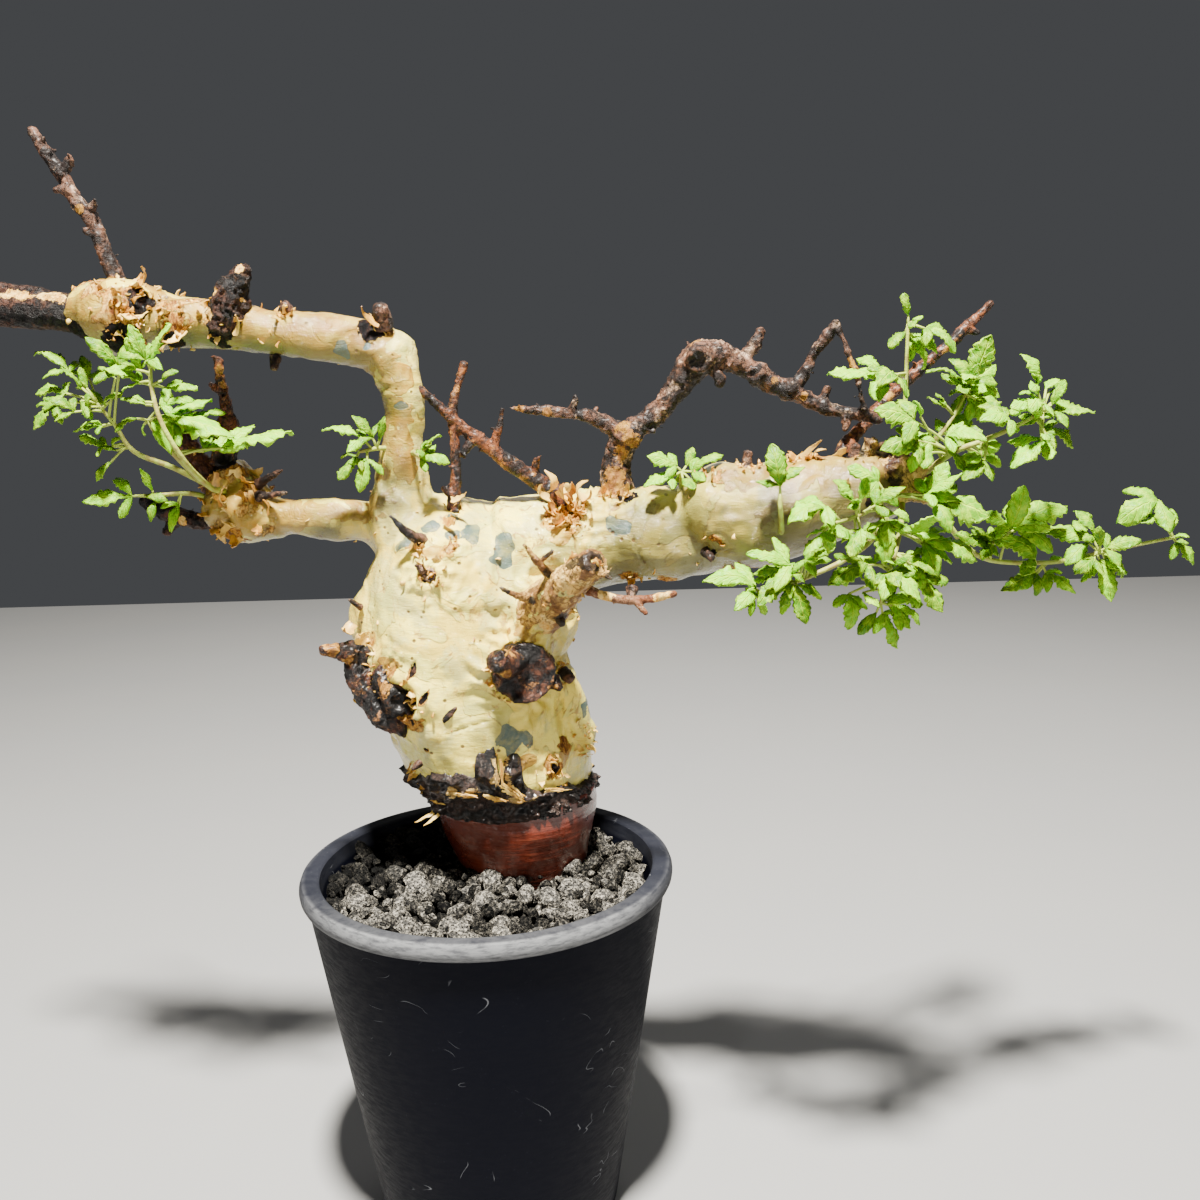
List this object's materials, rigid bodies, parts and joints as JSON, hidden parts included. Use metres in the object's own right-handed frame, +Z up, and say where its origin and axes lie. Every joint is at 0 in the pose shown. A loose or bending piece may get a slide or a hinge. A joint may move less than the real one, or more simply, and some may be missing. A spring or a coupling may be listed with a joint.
{
  "type": "potted commiphora",
  "caption": "Small swollen-trunk tree with two bent arms, dead twigs and sprays of crenate green leaves, planted in a plain round pot of lava gravel.",
  "frame": {"origin": "middle of the pot's base, on the plane that the pot stands on", "axes": "+Z up; +X to the right of the plant as the picture shows it, along its wider reach; +Y to its back"},
  "size_m": [0.4819, 0.152, 0.4417],
  "materials": {
    "pot": "matte",
    "gravel": "matte",
    "root_crown": "satin",
    "old_bark": "matte",
    "trunk": "satin",
    "brown_twig": "matte",
    "dark_wood": "matte",
    "rust_wood": "matte",
    "dry_wood": "matte",
    "foliage": "satin"
  },
  "bodies": {
    "root": {"pot": "pot", "lava_gravel": "gravel", "root_crown": "root_crown", "old_bark": "old_bark", "trunk": "trunk", "knobbed_branch": "brown_twig", "crossed_twig": "brown_twig", "arm_tip_twig": "brown_twig", "back_twig": "brown_twig", "peeled_arm_tip": "dark_wood", "arm_stump": "dark_wood", "hanging_twig": "dark_wood", "black_stub": "dark_wood", "limb_end": "dark_wood", "rust_stub": "rust_wood", "cut_stub": "rust_wood", "left_scar": "rust_wood", "dry_twig": "dry_wood", "leafy_shoot_upright": "foliage", "leafy_shoot_back": "foliage", "leafy_shoot_right": "foliage", "leafy_shoot_far_right": "foliage", "leafy_shoot_front": "foliage", "leafy_shoot_centre": "foliage", "leafy_shoot_low_left": "foliage", "leafy_shoot_left": "foliage", "leafy_shoot_left_front": "foliage", "leafy_shoot_left_upper": "foliage", "leafy_shoot_left_low": "foliage", "leafy_sprig_arm_left": "foliage", "leafy_sprig_arm_right": "foliage", "leafy_sprig_limb": "foliage", "limb_leaf": "foliage"}
  },
  "joints": []
}
